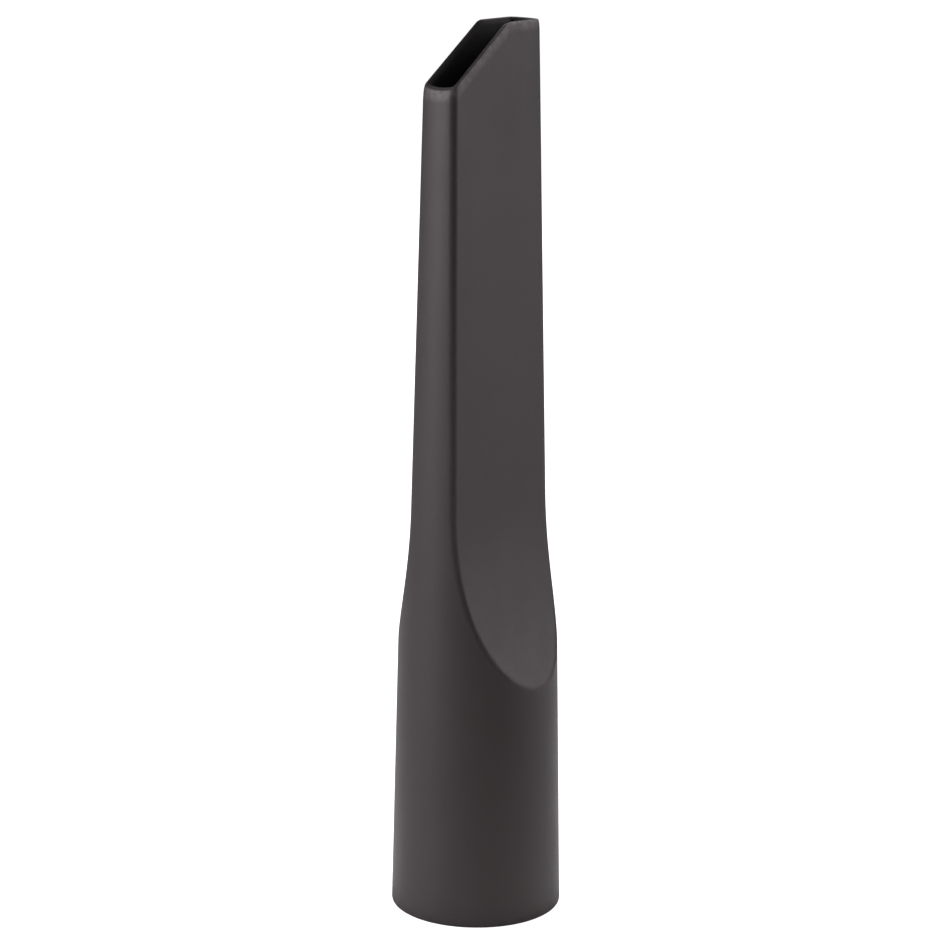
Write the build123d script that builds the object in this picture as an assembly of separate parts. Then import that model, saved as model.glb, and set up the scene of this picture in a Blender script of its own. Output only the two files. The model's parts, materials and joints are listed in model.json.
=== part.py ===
from build123d import *
from math import acos, atan2, cos, degrees, radians, sin, tan
import os

# Crevice nozzle: a one-piece moulded suction tool. It stands on its socket rim, with the origin at
# the centre of the socket's mouth and +Z along the air path. X runs across the wide side of the
# blade and Y through its thickness. The slanted tip is low at -X and high at +X.

# overall form
overall_length = 190.0
body_taper = 1.2                # degrees, half-angle of the cone that the outside follows

# socket that pushes onto a hose or wand end
socket_bore_diameter = 32.0     # parallel seat
socket_depth = 36.0             # from the mouth to the stop ledge
socket_wall = 2.25              # at the mouth
lead_in_height = 3.0            # tapered entry below the seat
lead_in_gap = 0.45              # how much wider than the seat the entry is, per side
stop_ledge = 1.0                # width of the step that the hose end meets
rim_radius = 0.8                # outer rounding at the mouth

# blade
shoulder_height = 89.2          # where the scoops end and the flat sides begin
shoulder_thickness = 12.4
tip_thickness = 8.5
scoop_radius = 75.0             # hollow between the tube and the flat sides
blade_wall = 1.6
crease_radius = 1.6             # rounding between the flat sides and the narrow bands
duct_crease_radius = 0.8        # the same inside

# tip
tip_angle = 36.2                # degrees above level of the slanted mouth
tip_top_width = 11.1            # length of the level part at the high side
tip_bend_radius = 3.0           # between the level and the slanted part
lip_land = 0.3                  # level strip left between the lip's outer rounding and the duct

margin = 5.0                    # how far the cutting shapes reach past the body

seat_radius = socket_bore_diameter / 2
mouth_radius = seat_radius + socket_wall
top_radius = mouth_radius - overall_length * tan(radians(body_taper))
reach = mouth_radius + margin
above = overall_length + margin
lip_radius = min(blade_wall, crease_radius) - lip_land     # as large as the wall and corners allow
standing = (Align.CENTER, Align.CENTER, Align.MIN)


def frustum(low_radius, high_radius, low, high):
    """A cone frustum on the Z axis between two heights."""
    return Pos(0, 0, low) * Cone(low_radius, high_radius, high - low, align=standing)


def cut_sides(body, inset):
    """Cut both wide sides: flat and tapering on the blade, running into a round scoop below.

    inset moves the cuts towards the middle, so the same shape makes the duct inside the wall.
    """
    shoulder = Vector(shoulder_thickness / 2, shoulder_height)
    tip = Vector(tip_thickness / 2, overall_length)
    lean = atan2(shoulder.X - tip.X, tip.Y - shoulder.Y)
    outward = Vector(cos(lean), sin(lean))
    centre = shoulder + outward * scoop_radius
    radius = scoop_radius + inset
    sweep = degrees(acos(1 - (reach - shoulder.X + inset) / radius))
    scoop = CenterArc(centre, radius, 180 + degrees(lean), sweep)
    flat_end = scoop @ 0 + (tip - shoulder).normalized() * overall_length
    far = reach + margin
    edge = Polyline(scoop @ 0, flat_end, (far, flat_end.Y), (far, (scoop @ 1).Y), scoop @ 1)
    cutter = extrude(Plane.YZ * make_face(scoop + edge), reach, both=True)
    return body - cutter - mirror(cutter, about=Plane.XZ)


def round_creases(body, radius):
    """Round the edges where the cut sides meet the cone, the only ones neither straight nor circular."""
    plain = (GeomType.LINE, GeomType.CIRCLE)
    return fillet([e for e in body.edges() if e.geom_type not in plain], radius)


def tip_trim():
    """What the body is trimmed to: a slanted mouth with a short level top, seen from the side."""
    bend = top_radius - tip_top_width
    low_side = overall_length - (bend + reach) * tan(radians(tip_angle))
    outline = Polyline(
        (-reach, -margin),
        (-reach, low_side),
        (bend, overall_length),
        (reach, overall_length),
        (reach, -margin),
        close=True,
    )
    side_view = make_face(outline)
    corner = side_view.vertices().sort_by_distance((bend, overall_length, 0))[0]
    side_view = fillet(corner, tip_bend_radius)
    return extrude(Plane.XZ * side_view, reach, both=True)


def lip_edges(body):
    """The outer edges of the mouth: each belongs to just one of the faces that look upwards."""
    steepest = cos(radians(tip_angle)) / 2
    mouth_faces = [f for f in body.faces() if f.normal_at().Z > steepest]
    edges = [e for f in mouth_faces for e in f.edges()]
    return [e for e in edges if sum(e.is_same(other) for other in edges) == 1]


def outer_body():
    """The outside of the moulding as one filled solid."""
    body = frustum(mouth_radius, top_radius, 0, overall_length)
    body = round_creases(cut_sides(body, 0), crease_radius)
    body &= tip_trim()
    body = fillet(lip_edges(body), lip_radius)
    rim = body.edges().filter_by(GeomType.CIRCLE).sort_by(Axis.Z)[0]
    return fillet(rim, rim_radius)


def socket():
    """The parallel seat and its tapered entry."""
    seat = Cylinder(seat_radius, socket_depth, align=standing)
    return seat + frustum(seat_radius + lead_in_gap, seat_radius, 0, lead_in_height)


def duct():
    """The air path from the stop ledge out through the tip."""
    stop_radius = seat_radius - stop_ledge
    tip_radius = top_radius - blade_wall
    narrowing = (stop_radius - tip_radius) / (overall_length - socket_depth)
    path = frustum(stop_radius, tip_radius - narrowing * margin, socket_depth, above)
    return round_creases(cut_sides(path, blade_wall), duct_crease_radius)


crevice_nozzle = outer_body() - socket() - duct()

os.makedirs("parts", exist_ok=True)
export_step(crevice_nozzle, "parts/crevice_nozzle.step")
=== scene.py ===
import bmesh
import bpy
import json
import numpy as np
from math import atan2, cos, pi, radians, sin, tan
from mathutils import Matrix, Vector


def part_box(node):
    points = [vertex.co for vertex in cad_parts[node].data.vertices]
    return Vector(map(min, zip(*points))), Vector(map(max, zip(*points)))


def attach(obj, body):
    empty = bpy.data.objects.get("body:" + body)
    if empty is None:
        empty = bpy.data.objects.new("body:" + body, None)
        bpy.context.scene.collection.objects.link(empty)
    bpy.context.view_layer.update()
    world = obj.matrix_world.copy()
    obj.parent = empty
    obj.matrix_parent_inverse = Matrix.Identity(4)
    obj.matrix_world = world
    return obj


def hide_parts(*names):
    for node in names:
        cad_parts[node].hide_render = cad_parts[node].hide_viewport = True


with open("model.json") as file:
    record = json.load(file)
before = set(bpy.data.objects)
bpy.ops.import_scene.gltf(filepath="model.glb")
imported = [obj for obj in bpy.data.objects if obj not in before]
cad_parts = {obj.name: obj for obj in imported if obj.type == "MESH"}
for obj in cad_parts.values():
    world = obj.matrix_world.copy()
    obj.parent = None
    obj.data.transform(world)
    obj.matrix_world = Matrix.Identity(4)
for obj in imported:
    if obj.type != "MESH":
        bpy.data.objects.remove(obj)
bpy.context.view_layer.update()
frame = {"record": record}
print("frame: loaded")


# a socket that can be used in sums; each operator adds one Math node
class Value:
    def __init__(self, shader, socket):
        self.shader = shader
        self.socket = socket

    def math(self, operation, *others):
        inputs = dict(enumerate((self, *others)))
        return self.shader.node("ShaderNodeMath", {"operation": operation}, inputs)

    def __add__(self, other):
        return self.math("ADD", other)

    def __sub__(self, other):
        return self.math("SUBTRACT", other)

    def __rsub__(self, other):
        return self.shader.node("ShaderNodeMath", {"operation": "SUBTRACT"}, {0: other, 1: self})

    def __mul__(self, other):
        return self.math("MULTIPLY", other)

    def clamped(self):
        return self.shader.node("ShaderNodeClamp", {}, {"Value": self})

    __radd__ = __add__
    __rmul__ = __mul__


# one material and its node tree
class Shader:
    def __init__(self, name):
        self.material = bpy.data.materials.new(name)
        self.material.use_nodes = True
        self.tree = self.material.node_tree
        self.tree.nodes.clear()

    # settings are set first, then each input gets a value or a link
    def node(self, kind, settings=None, inputs=None, output=0):
        made = self.tree.nodes.new(kind)
        for key, setting in (settings or {}).items():
            setattr(made, key, setting)
        for key, given in (inputs or {}).items():
            if isinstance(given, Value):
                self.tree.links.new(given.socket, made.inputs[key])
            else:
                made.inputs[key].default_value = given
        return Value(self, made.outputs[output])

    def mixColours(self, factor, first, second):
        return self.node("ShaderNodeMix", {"data_type": "RGBA"}, {0: factor, 6: first, 7: second}, 2)

    def finish(self, surface):
        out = self.tree.nodes.new("ShaderNodeOutputMaterial")
        self.tree.links.new(surface.socket, out.inputs["Surface"])
        return self.material


# the moulding, in metres and degrees
nozzle = {
    "bodyTaper": 1.2,
    "shoulderHeight": 0.0892,      # scoop below, flat side above
    "shoulderThickness": 0.0124,
    "tipThickness": 0.0085,
    "scoopRadius": 0.075,
    "creaseRadius": 0.0016,
    "bladeWall": 0.0016,
    "ductCrease": 0.0008,
    "tipAngle": 36.2,
    "tipTopWidth": 0.0111,
    "tipBendRadius": 0.003,
    "lipAcross": 0.0003,           # rounding of the mouth's edge, over the wall
    "lipDown": 0.0024,             # and down the outside
    "innerEdge": 0.0012,           # rounding from the land into the duct
    "rimRadius": 0.0008,
    "socketDepth": 0.036,
    "stopLedge": 0.001,
    "leadInHeight": 0.003,
    "leadInGap": 0.00045,
    "socketEdge": 0.0003,
    # how rubbed each edge is, up to one, and how soon it starts below the lip; on the lip the pale colour
    # is mostly a painted highlight along the mouth's edge and partly wear, on the creases and rim it is
    # wear
    "wear": {"crease": 0.1, "lip": 1.0, "land": 0.0, "rim": 0.2},
    "wearSpread": 1.6,
    "insideShadeFrom": 0.5,             # how dark the painted shade on the inner edge already is where it starts
}

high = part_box("crevice_nozzle")[1]
length = high.z
taper = radians(nozzle["bodyTaper"])
mouthRadius = high.x + nozzle["rimRadius"] * tan(taper)
topRadius = mouthRadius - length * tan(taper)
socketMount = next(m for m in frame["record"]["mounts"] if m["name"] == "socket")
seatRadius = socketMount["dims"]["r_mm"] / 1000
stopRadius = seatRadius - nozzle["stopLedge"]


# the side cut in the plane of thickness and height: a leaning flat, then a round scoop
class SideCut:
    def __init__(self):
        self.thick = nozzle["shoulderThickness"] / 2
        self.height = nozzle["shoulderHeight"]
        rise = length - self.height
        self.lean = atan2(self.thick - nozzle["tipThickness"] / 2, rise)
        self.radius = nozzle["scoopRadius"]
        self.centreY = self.thick + self.radius * cos(self.lean)
        self.centreZ = self.height + self.radius * sin(self.lean)

    # half thickness at a height, moved in by inset
    def halfThickness(self, z, inset):
        flat = self.thick - ((z - self.height) * sin(self.lean) + inset) / cos(self.lean)
        below = (self.radius + inset) ** 2 - (z - self.centreZ) ** 2
        scoop = self.centreY - np.sqrt(np.maximum(below, 0))
        turn = self.height - inset * sin(self.lean)
        return np.where(z > turn, flat, scoop)

    # signed distance, positive outside, and the outward direction
    def distance(self, y, z, inset):
        dy, dz = y - self.thick, z - self.height
        along = dz * cos(self.lean) - dy * sin(self.lean)
        flat = dy * cos(self.lean) + dz * sin(self.lean) + inset
        awayY, awayZ = self.centreY - y, self.centreZ - z
        away = np.hypot(awayY, awayZ)
        onFlat = along > 0
        gap = np.where(onFlat, flat, self.radius + inset - away)
        normalY = np.where(onFlat, cos(self.lean), awayY / away)
        normalZ = np.where(onFlat, sin(self.lean), awayZ / away)
        return gap, normalY, normalZ


sideCut = SideCut()
halvings = 32        # steps that find the skin's distance from the axis
mouthRounds = 12     # and the height at which it meets the mouth
tiny = 1e-9


# one skin of the wall: a cone with both sides cut and the creases rounded
class Skin:
    def __init__(self, baseRadius, slope, inset, crease):
        self.baseRadius = baseRadius
        self.slope = slope                 # how fast the cone narrows
        self.inset = inset
        self.crease = crease
        self.steep = 1 / (1 + slope * slope) ** 0.5

    def coneRadius(self, z):
        return self.baseRadius - self.slope * z

    # signed distance to the rounded shape, with a ball rolled along the crease
    def gap(self, angle, radius, z):
        cone = (radius - self.coneRadius(z)) * self.steep
        side, normalY, normalZ = sideCut.distance(radius * np.abs(np.sin(angle)), z, self.inset)
        turn = np.abs(np.sin(angle)) * self.steep * normalY + self.slope * self.steep * normalZ
        a, b = cone + self.crease, side + self.crease
        inWedge = (a > b * turn) & (b > a * turn)
        spread = np.maximum(1 - turn * turn, tiny)
        ball = np.sqrt(np.maximum(a * a + b * b - 2 * a * b * turn, 0) / spread) - self.crease
        return np.where(inWedge, ball, np.maximum(cone, side))

    # one along the middle of the creases, nothing away from them
    def onCrease(self, points):
        z = points[:, 2]
        cone = (np.hypot(points[:, 0], points[:, 1]) - self.coneRadius(z)) * self.steep
        side = sideCut.distance(np.abs(points[:, 1]), z, self.inset)[0]
        return np.clip(1 + np.minimum(cone, side) / self.crease, 0, 1)

    # distance from the axis to the skin, by halving
    def reach(self, angle, z):
        near, far = np.zeros_like(z * angle), self.coneRadius(z) + 0 * angle
        for step in range(halvings):
            middle = (near + far) / 2
            outside = self.gap(angle, middle, z) > 0
            near, far = np.where(outside, near, middle), np.where(outside, middle, far)
        return (near + far) / 2


ductNarrowing = (stopRadius - (topRadius - nozzle["bladeWall"])) / (length - nozzle["socketDepth"])
outerSkin = Skin(mouthRadius, tan(taper), 0, nozzle["creaseRadius"])
ductSkin = Skin(
    stopRadius + ductNarrowing * nozzle["socketDepth"],
    ductNarrowing,
    nozzle["bladeWall"],
    nozzle["ductCrease"],
)

# columns of faces round the wall, counted on a quarter
columns = {
    "onBand": 10,
    "onCrease": 8,
    "onSide": 26,
    "evenBelow": 0.050,    # evenly spaced up to here
    "creaseFrom": 0.062,   # lowest height at which the crease's place is worked out
    "fittedAbove": 0.076,  # and fitted to the crease from here
}
quarter = columns["onBand"] + columns["onCrease"] + columns["onSide"]

# rows of faces: a height to start from and the step up from there
rows = {
    "outer": [(0.003, 0.003), (0.046, 0.00036), (0.066, 0.0006), (0.093, 0.0025), (0.172, 0)],
    "tip": 9,
    "lip": 8,
    "innerEdge": 2,
    "tipInside": 5,
    "socketCorner": 4,
    "duct": [(0.172, 0.006), (0.093, 0.0008), (0.046, 0.0035), (0.039, 0)],
}


# angle of each column of a quarter, so that the creases keep columns of their own
def quarterAngles(skin, z):
    steps = np.arange(quarter + 1)
    crease = skin.crease
    fitZ = np.maximum(z, columns["creaseFrom"])
    cone = skin.coneRadius(fitZ)
    centreY = np.minimum(sideCut.halfThickness(fitZ, skin.inset), cone) - crease
    centreX = np.sqrt(np.maximum((cone - crease) ** 2 - centreY ** 2, 0))
    start = np.arctan2(centreY, centreX)
    onBand = start * steps / columns["onBand"]
    turn = np.clip((steps - columns["onBand"]) / columns["onCrease"], 0, 1)
    turned = start + (pi / 2 - start) * turn
    onCrease = np.arctan2(centreY + crease * np.sin(turned), centreX + crease * np.cos(turned))
    share = np.clip((steps - columns["onBand"] - columns["onCrease"]) / columns["onSide"], 0, 1)
    onSide = np.arctan2(centreY + crease, centreX * (1 - share))
    fitted = np.where(steps <= columns["onBand"], onBand, np.where(turn < 1, onCrease, onSide))
    even = steps / quarter * pi / 2
    blend = np.clip((z - columns["evenBelow"]) / (columns["fittedAbove"] - columns["evenBelow"]), 0, 1)
    blend = blend * blend * (3 - 2 * blend)
    return even + (fitted - even) * blend


# the four quarters in one turn; heights has one row per ring and one or all columns
def columnAngles(skin, heights):
    heights = heights + np.zeros((1, 4 * quarter))
    index = np.arange(4 * quarter)
    inQuarter = index % quarter
    odd = (index // quarter) % 2 == 1
    pick = np.where(odd, quarter - inQuarter, inQuarter)
    angles = np.zeros_like(heights)
    for column in index:
        own = quarterAngles(skin, heights[:, column:column + 1])[:, pick[column]]
        base = (index[column] // quarter) * pi / 2
        angles[:, column] = base + (pi / 2 - own if odd[column] else own)
    return angles


def ringsOn(skin, heights):
    angles = columnAngles(skin, heights)
    heights = heights + 0 * angles
    radius = skin.reach(angles, heights)
    return np.stack([radius * np.cos(angles), radius * np.sin(angles), heights], -1)


# height of the mouth's plane: slanted, then level, with a round bend between
def mouthHeight(x):
    slope = tan(radians(nozzle["tipAngle"]))
    bend = topRadius - nozzle["tipTopWidth"]
    ball = nozzle["tipBendRadius"]
    run = ball * tan(radians(nozzle["tipAngle"]) / 2)
    slanted = length - (bend - x) * slope
    rounded = length - ball + np.sqrt(np.maximum(ball ** 2 - (bend + run - x) ** 2, 0))
    onSlant = x < bend - run * cos(radians(nozzle["tipAngle"]))
    return np.where(onSlant, slanted, np.where(x < bend + run, rounded, length))


# where each column of a skin meets the mouth's plane
def mouthRing(skin):
    heights = np.full((1, 4 * quarter), length)
    for step in range(mouthRounds):
        ring = ringsOn(skin, heights)
        heights = mouthHeight(ring[..., 0])
    return ringsOn(skin, heights)[0]


# heights from one stop to the next, without the first
def spaced(stops):
    heights = []
    for (start, step), (end, _) in zip(stops, stops[1:]):
        count = max(1, round(abs(end - start) / step))
        heights += list(np.linspace(start, end, count + 1)[1:])
    return heights


# an outline in radius and height with its inner corners rounded
def roundedOutline(points, radii):
    steps = rows["socketCorner"]
    outline = [points[0]]
    for before, corner, after, radius in zip(points, points[1:], points[2:], radii):
        before, corner, after = (Vector(p) for p in (before, corner, after))
        back, on = (before - corner).normalized(), (after - corner).normalized()
        half = back.angle(on) / 2
        centre = corner + (back + on).normalized() * radius / sin(half)
        first, last = corner + back * radius / tan(half), corner + on * radius / tan(half)
        start = atan2(first.y - centre.y, first.x - centre.x)
        sweep = (atan2(last.y - centre.y, last.x - centre.x) - start + pi) % (2 * pi) - pi
        for step in range(steps + 1):
            turn = start + sweep * step / steps
            outline.append((centre.x + radius * cos(turn), centre.y + radius * sin(turn)))
    return outline + [points[-1]]


# rings of points with how much wear and painted highlight each one has, and how much painted shade it gets
# inside the nozzle
class Rings:
    def __init__(self):
        self.points, self.wear, self.inside = [], [], []

    def add(self, points, wear=0.0, inside=0.0):
        self.points.append(points)
        self.wear.append(np.zeros(len(points)) + wear)
        self.inside.append(np.zeros(len(points)) + inside)

    def addOn(self, skin, heights, inside=0.0):
        for points in ringsOn(skin, heights):
            self.add(points, skin.onCrease(points) * nozzle["wear"]["crease"], inside)


# up the outside, over the lip, down the duct and out round the socket's rim
def nozzleRings():
    rings, wear = Rings(), nozzle["wear"]
    outer = rows["outer"]
    heights = [outer[0][0]] + spaced(outer)
    rings.addOn(outerSkin, np.array(heights)[:, None])
    bladeTop = outer[-1][0]

    lip, ductLip = mouthRing(outerSkin), mouthRing(ductSkin)
    step = 1e-4
    slope = (mouthHeight(lip[:, 0] + step) - mouthHeight(lip[:, 0] - step)) / (2 * step)
    along = np.roll(lip, -1, 0) - np.roll(lip, 1, 0)
    alongX = along[:, 0] / np.hypot(along[:, 0], along[:, 1])
    lipStart = lip[:, 2] - nozzle["lipDown"] * np.hypot(1, slope * alongX)
    for k in range(1, rows["tip"] + 1):
        rings.addOn(outerSkin, (bladeTop + (lipStart - bladeTop) * k / rows["tip"])[None])
    down, across = rings.points[-1] - lip, ductLip - lip
    share = nozzle["lipAcross"] / nozzle["bladeWall"]
    # the lip's rounding gets the pale worn colour: mostly a painted highlight along the mouth's edge,
    # partly wear
    for k in range(1, rows["lip"] + 1):
        turn = pi / 2 * k / rows["lip"]
        points = lip + down * (1 - sin(turn)) + across * share * (1 - cos(turn))
        rings.add(points, wear["lip"] * min(1, nozzle["wearSpread"] * sin(turn)))

    # a small rounding where the land turns into the duct
    edge = nozzle["innerEdge"]
    inner = ringsOn(ductSkin, (ductLip[:, 2] - edge)[None])[0]
    back = across / np.linalg.norm(across, axis=1)[:, None] * edge
    # the inner edge darkens into the painted shade of the duct
    insideShadeFrom = nozzle["insideShadeFrom"]
    for k in range(rows["innerEdge"] + 1):
        part = k / rows["innerEdge"]
        turn = pi / 2 * part
        points = ductLip - back * (1 - sin(turn)) + (inner - ductLip) * (1 - cos(turn))
        rings.add(points, wear["land"], insideShadeFrom + (1 - insideShadeFrom) * part)
    # the duct below is painted near black all over: painted shade
    for k in range(1, rows["tipInside"] + 1):
        rings.addOn(ductSkin, (inner[:, 2] + (bladeTop - inner[:, 2]) * k / rows["tipInside"])[None], 1.0)
    heights = spaced(rows["duct"])
    rings.addOn(ductSkin, np.array(heights)[:, None], 1.0)

    depth, edge, leadIn = nozzle["socketDepth"], nozzle["socketEdge"], nozzle["leadInHeight"]
    outline = roundedOutline(
        [
            (ductSkin.coneRadius(heights[-1]), heights[-1]),
            (stopRadius, depth),
            (seatRadius, depth),
            (seatRadius, leadIn),
            (seatRadius + nozzle["leadInGap"], 0),
            (mouthRadius, 0),
            (outerSkin.coneRadius(outer[0][0]), outer[0][0]),
        ],
        [edge, edge, leadIn / 2, edge, nozzle["rimRadius"]],
    )
    angles = columnAngles(outerSkin, np.array([[0.0]]))[0]
    # the socket inside gets the painted shade, the rim outside does not
    for radius, height in outline[1:-1]:
        onRim = radius > seatRadius + nozzle["leadInGap"]
        heights = 0 * angles + max(height, 0)
        points = np.stack([radius * np.cos(angles), radius * np.sin(angles), heights], -1)
        rings.add(points, wear["rim"] if onRim else 0.0, 0.0 if onRim else 1.0)
    return rings


def makeNozzle():
    rings = nozzleRings()
    around, count = 4 * quarter, len(rings.points)
    mesh = bpy.data.meshes.new("nozzleShell")
    shell = bmesh.new()
    wear = shell.verts.layers.float.new("wear")
    inside = shell.verts.layers.float.new("inside")
    corners = []
    for points, wornAndHighlight, within in zip(rings.points, rings.wear, rings.inside):
        for point, w, i in zip(points, wornAndHighlight, within):
            corner = shell.verts.new(point)
            corner[wear], corner[inside] = w, i
            corners.append(corner)
    for ring in range(count):
        lower, upper = ring * around, (ring + 1) % count * around
        for column in range(around):
            beside = (column + 1) % around
            quad = (lower + column, lower + beside, upper + beside, upper + column)
            shell.faces.new([corners[k] for k in quad]).smooth = True
    shell.to_mesh(mesh)
    shell.free()
    piece = bpy.data.objects.new("nozzle_shell", mesh)
    bpy.context.scene.collection.objects.link(piece)
    print("nozzle:", len(mesh.vertices), "points,", len(mesh.polygons), "faces")
    return piece


# satin charcoal moulding; sizes in metres
plastic = {
    "colour": (0.0400, 0.0340, 0.0350, 1),
    "paleColour": (0.0470, 0.0402, 0.0412, 1),    # in the mottling
    "wornAndHighlightColour": (0.1200, 0.1060, 0.1090, 1),    # rubbed edges, and a painted highlight along the mouth's lip
    # painted shade: the duct and socket inside are painted near black, standing in for the shade inside
    # the nozzle
    "insideShadeColour": (0.0105, 0.0092, 0.0095, 1),
    "specular": 0.3,
    "roughness": 0.43,
    "mottleSize": 0.014,
    "streakSize": 0.0035,
    "streakStretch": 9,
    "grainSize": 0.00042,
    "grainDepth": 0.000016,
    "waveSize": 0.012,
    "waveDepth": 0.00002,
    "scuffSize": 0.0016,
    "scuffContrast": 2.0,
    "scuffStart": -0.45,
    "scuffDepth": 0.8,       # against the grain's depth
    # noise settings
    "details": {"mottleSize": 3.0, "streakSize": 2.0, "grainSize": 3.0, "waveSize": 1.0, "scuffSize": 4.0},
    "noiseRoughness": 0.55,
    "noiseMiddle": 0.5,
    # how much each pattern makes the colour paler, and the roughness higher or lower
    "pale": {"mottle": 1.2, "streaks": 0.6, "start": -0.55},
    "rough": {"mottle": 0.16, "streaks": 0.12, "grain": 0.10, "wornAndHighlight": -0.07, "inside": 0.35},
}


def makePlastic():
    shader = Shader("charcoalPlastic")
    pale, rough = plastic["pale"], plastic["rough"]
    where = shader.node("ShaderNodeTexCoord", output="Object")
    wear = shader.node("ShaderNodeAttribute", {"attribute_name": "wear"}, output="Fac")
    inside = shader.node("ShaderNodeAttribute", {"attribute_name": "inside"}, output="Fac")

    def noise(place, size):
        inputs = {"Vector": place, "Scale": 1 / plastic[size], "Detail": plastic["details"][size]}
        return shader.node("ShaderNodeTexNoise", {}, inputs | {"Roughness": plastic["noiseRoughness"]})

    # streaks run along the flow of the plastic, which fills the mould lengthwise
    drawn = (1, 1, 1 / plastic["streakStretch"])
    along = shader.node("ShaderNodeVectorMath", {"operation": "MULTIPLY"}, {0: where, 1: drawn})
    mottle = noise(where, "mottleSize")
    streaks = noise(along, "streakSize")
    grain = noise(where, "grainSize")
    wave = noise(where, "waveSize")
    scuffs = noise(where, "scuffSize")
    wornAndHighlight = (wear * (scuffs * plastic["scuffContrast"] + plastic["scuffStart"])).clamped()

    paleness = mottle * pale["mottle"] + streaks * pale["streaks"] + pale["start"]
    colour = shader.mixColours(paleness.clamped(), plastic["colour"], plastic["paleColour"])
    # paler where rubbed: wear on the creases and rim, mostly a painted highlight on the lip
    colour = shader.mixColours(wornAndHighlight, colour, plastic["wornAndHighlightColour"])
    # painted shade: the duct and socket inside are made near black
    colour = shader.mixColours(inside, colour, plastic["insideShadeColour"])
    roughness = plastic["roughness"] + wornAndHighlight * rough["wornAndHighlight"] + inside * rough["inside"]
    for name, pattern in {"mottle": mottle, "streaks": streaks, "grain": grain}.items():
        roughness = roughness + (pattern - plastic["noiseMiddle"]) * rough[name]
    waves = shader.node("ShaderNodeBump", {}, {"Height": wave, "Distance": plastic["waveDepth"]})
    height = grain + scuffs * wornAndHighlight * plastic["scuffDepth"]
    grains = {"Height": height, "Distance": plastic["grainDepth"], "Normal": waves}
    bump = shader.node("ShaderNodeBump", {}, grains)
    surface = shader.node(
        "ShaderNodeBsdfPrincipled",
        {},
        {
            "Base Color": colour,
            "Roughness": roughness,
            "Specular IOR Level": plastic["specular"],
            "Normal": bump,
        },
    )
    print("plastic: made")
    return shader.finish(surface)


piece = makeNozzle()
piece.data.materials.append(makePlastic())
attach(piece, "root")
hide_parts("crevice_nozzle")


# floor, sky and lights; sizes in metres
studio = {
    "floorSize": 12.0,
    "floorColour": (0.9, 0.9, 0.9, 1),
    "floorRoughness": 0.9,
    "floorSeen": (1, 1, 1, 1),             # glow that the camera sees, so that the floor stays pale
    "floorGlow": (0.46, 0.46, 0.46, 1),    # bounce that lights the nozzle, from the floor round its foot
    "floorDark": (0, 0, 0, 1),
    "glowFades": (0.026, 0.20),
    "footShade": 0.019,                    # the floor under the nozzle gives none back
    "skyColour": (1, 1, 1, 1),
    "skyGlow": 0.02,
    "lightColour": (1.0, 0.958, 0.975),
    # name: degrees round from the camera, degrees up, metres away, metres across, watts
    "lights": {
        "leftSoft": (-70, 12, 1.0, 0.6, 6.7),
        "leftSide": (-90, 30, 1.0, 0.6, 1.8),
        "rightHigh": (110, 35, 1.0, 0.6, 3.6),
        "rightSide": (90, 12, 1.0, 0.6, 2.7),
        "frontHigh": (50, 52, 1.0, 0.4, 0.15),
        "backFill": (180, 30, 1.0, 0.6, 3.0),
    },
}

# metres and degrees
camera = {
    "around": 49.60,      # degrees from straight ahead of the wide side, towards the low side
    "away": 0.6538,
    "height": 0.2518,
    "turn": -0.105,
    "tilt": 13.474,
    "roll": 0.459,
    "focus": 3184.0,      # focal length for a frame 947 wide
    "frame": 947,
    "sensor": 36.0,
    "nearest": 0.01,      # nothing closer is drawn
}


# the camera sees a plain pale floor; the nozzle is lit by a softer one, brightest round its foot
def makeFloor():
    mesh = bpy.data.meshes.new("floor")
    half = studio["floorSize"] / 2
    corners = [(-half, -half, 0), (half, -half, 0), (half, half, 0), (-half, half, 0)]
    mesh.from_pydata(corners, [], [(0, 1, 2, 3)])
    floor = bpy.data.objects.new("floor", mesh)
    bpy.context.scene.collection.objects.link(floor)
    shader = Shader("paleFloor")
    where = shader.node("ShaderNodeTexCoord", output="Object")
    fromFoot = shader.node("ShaderNodeVectorMath", {"operation": "LENGTH"}, {0: where}, "Value")
    near, far = studio["glowFades"]
    faded = {"Value": fromFoot, "From Min": far, "From Max": near}
    rises = {"Value": fromFoot, "From Min": studio["footShade"], "From Max": near}
    share = shader.node("ShaderNodeMapRange", {}, faded) * shader.node("ShaderNodeMapRange", {}, rises)
    glow = shader.mixColours(share, studio["floorDark"], studio["floorGlow"])
    seen = shader.node("ShaderNodeLightPath", output="Is Camera Ray")
    glow = shader.mixColours(seen, glow, studio["floorSeen"])
    surface = shader.node(
        "ShaderNodeBsdfPrincipled",
        {},
        {
            "Base Color": studio["floorColour"],
            "Roughness": studio["floorRoughness"],
            "Specular IOR Level": 0.0,
            "Emission Color": glow,
            "Emission Strength": 1.0,
        },
    )
    mesh.materials.append(shader.finish(surface))
    print("floor: made")


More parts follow.
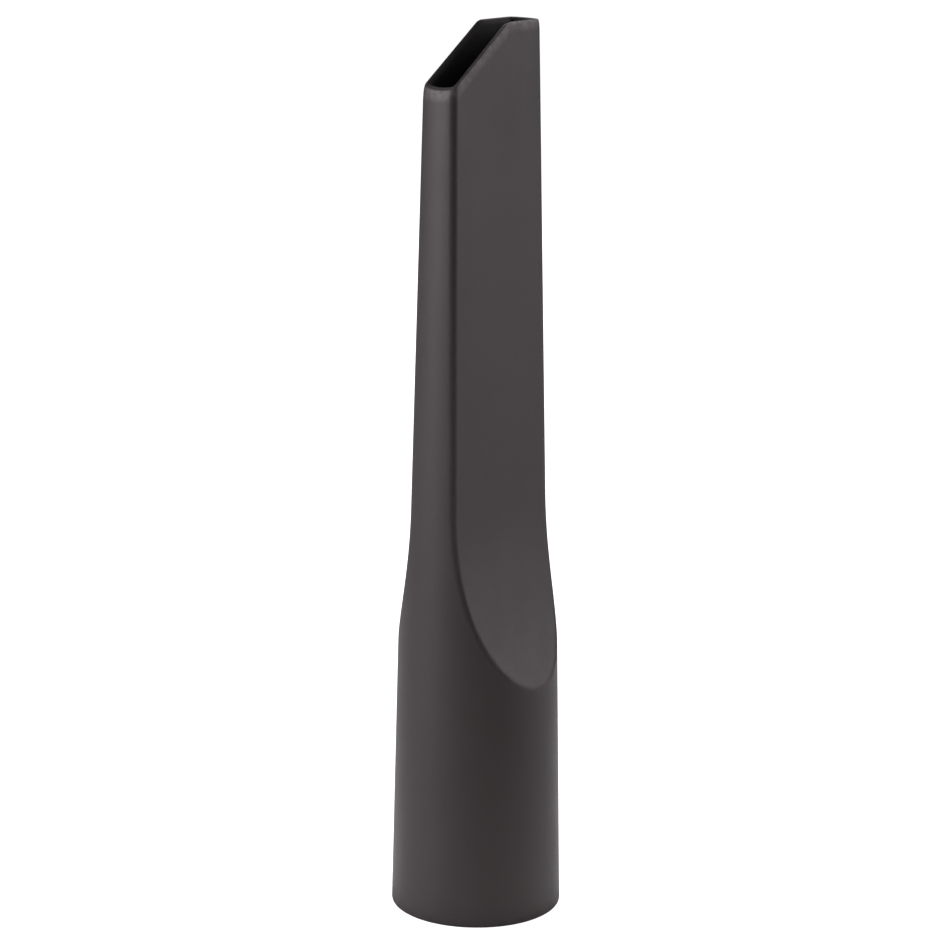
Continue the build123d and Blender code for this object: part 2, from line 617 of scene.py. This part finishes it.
def makeSky():
    world = bpy.data.worlds.new("sky")
    world.use_nodes = True
    tree = world.node_tree
    background = tree.nodes["Background"]
    background.inputs["Color"].default_value = studio["skyColour"]
    seen = tree.nodes.new("ShaderNodeLightPath")
    glow = tree.nodes.new("ShaderNodeMapRange")
    glow.inputs["To Min"].default_value = studio["skyGlow"]
    tree.links.new(seen.outputs["Is Camera Ray"], glow.inputs["Value"])
    tree.links.new(glow.outputs[0], background.inputs["Strength"])
    bpy.context.scene.world = world
    print("sky: made")


# large soft lights that look at the nozzle's middle
def makeLights():
    target = Vector((0, 0, length / 2))
    for name, (fromCamera, up, away, size, watts) in studio["lights"].items():
        around, up = radians(fromCamera - camera["around"]), radians(up)
        back = Vector((sin(around) * cos(up), -cos(around) * cos(up), sin(up)))
        data = bpy.data.lights.new(name, "AREA")
        data.size = size
        data.energy = watts
        data.color = studio["lightColour"]
        light = bpy.data.objects.new(name, data)
        light.location = target + back * away
        light.rotation_euler = back.to_track_quat("Z", "Y").to_euler()
        bpy.context.scene.collection.objects.link(light)
    print("lights:", len(studio["lights"]))


def makeCamera():
    around, tilt, roll = (radians(camera[k]) for k in ("around", "tilt", "roll"))
    facing = around + radians(camera["turn"])
    forward = Vector((sin(facing) * cos(tilt), cos(facing) * cos(tilt), -sin(tilt)))
    right = Vector((cos(facing), -sin(facing), 0))
    up = right.cross(forward)
    right, up = right * cos(roll) + up * sin(roll), up * cos(roll) - right * sin(roll)
    place = Vector((-camera["away"] * sin(around), -camera["away"] * cos(around), camera["height"]))
    data = bpy.data.cameras.new("camera")
    data.sensor_width = camera["sensor"]
    data.lens = camera["focus"] / camera["frame"] * camera["sensor"]
    data.clip_start = camera["nearest"]
    eye = bpy.data.objects.new("camera", data)
    bpy.context.scene.collection.objects.link(eye)
    axes = Matrix((right, up, -forward)).transposed()
    eye.matrix_world = Matrix.Translation(place) @ axes.to_4x4()
    bpy.context.scene.camera = eye
    print("camera: lens", round(data.lens, 1), "mm")


makeFloor()
makeSky()
makeLights()
makeCamera()
bpy.context.scene.view_settings.view_transform = "Standard"
